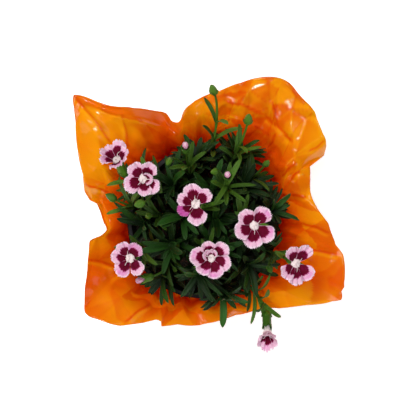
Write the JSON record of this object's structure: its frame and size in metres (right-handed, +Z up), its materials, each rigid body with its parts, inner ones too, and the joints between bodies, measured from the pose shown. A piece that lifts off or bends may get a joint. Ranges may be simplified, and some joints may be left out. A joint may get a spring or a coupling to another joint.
{
  "type": "potted dianthus",
  "caption": "Potted dianthus with pink and burgundy toothed blooms, buds and narrow green leaves in a black pot, in a flared orange film wrap.",
  "frame": {"origin": "middle of the flat underside of the film wrap, on the pot's axis", "axes": "+Z up along the pot's axis, +X to the right and +Y to the top of the picture taken from above"},
  "size_m": [0.1991, 0.2085, 0.1906],
  "materials": {
    "black_plastic": "matte",
    "peat": "rough, crumbly",
    "orange_film": "glossy, translucent",
    "leaf_green": "satin",
    "stem_green": "satin",
    "petal_pink": "soft matte",
    "bud_pink": "soft matte"
  },
  "bodies": {
    "root": {"bloom_01": "petal_pink", "bloom_02": "petal_pink", "bloom_03": "petal_pink", "bloom_04": "petal_pink", "bloom_05": "petal_pink", "bloom_06": "petal_pink", "bloom_07": "petal_pink", "bloom_08": "petal_pink", "bud_stem_01": "stem_green", "bud_stem_02": "stem_green", "bud_stem_03": "stem_green", "bud_stem_04": "stem_green", "bud_stem_05": "stem_green", "bud_stem_06": "stem_green", "bud_stem_07": "stem_green", "bud_stem_08": "stem_green", "bud_tip_03": "bud_pink", "bud_tip_04": "bud_pink", "bud_tip_07": "bud_pink", "film_wrap": "orange_film", "flower_stem_01": "stem_green", "flower_stem_02": "stem_green", "flower_stem_03": "stem_green", "flower_stem_04": "stem_green", "flower_stem_05": "stem_green", "flower_stem_06": "stem_green", "flower_stem_07": "stem_green", "flower_stem_08": "stem_green", "leafy_shoot_01": "leaf_green", "leafy_shoot_02": "leaf_green", "leafy_shoot_03": "leaf_green", "leafy_shoot_04": "leaf_green", "leafy_shoot_05": "leaf_green", "leafy_shoot_06": "leaf_green", "leafy_shoot_07": "leaf_green", "leafy_shoot_08": "leaf_green", "leafy_shoot_09": "leaf_green", "leafy_shoot_10": "leaf_green", "leafy_shoot_11": "leaf_green", "leafy_shoot_12": "leaf_green", "leafy_shoot_13": "leaf_green", "leafy_shoot_14": "leaf_green", "leafy_shoot_15": "leaf_green", "leafy_shoot_16": "leaf_green", "leafy_shoot_17": "leaf_green", "pot": "black_plastic", "soil": "peat"}
  },
  "joints": []
}
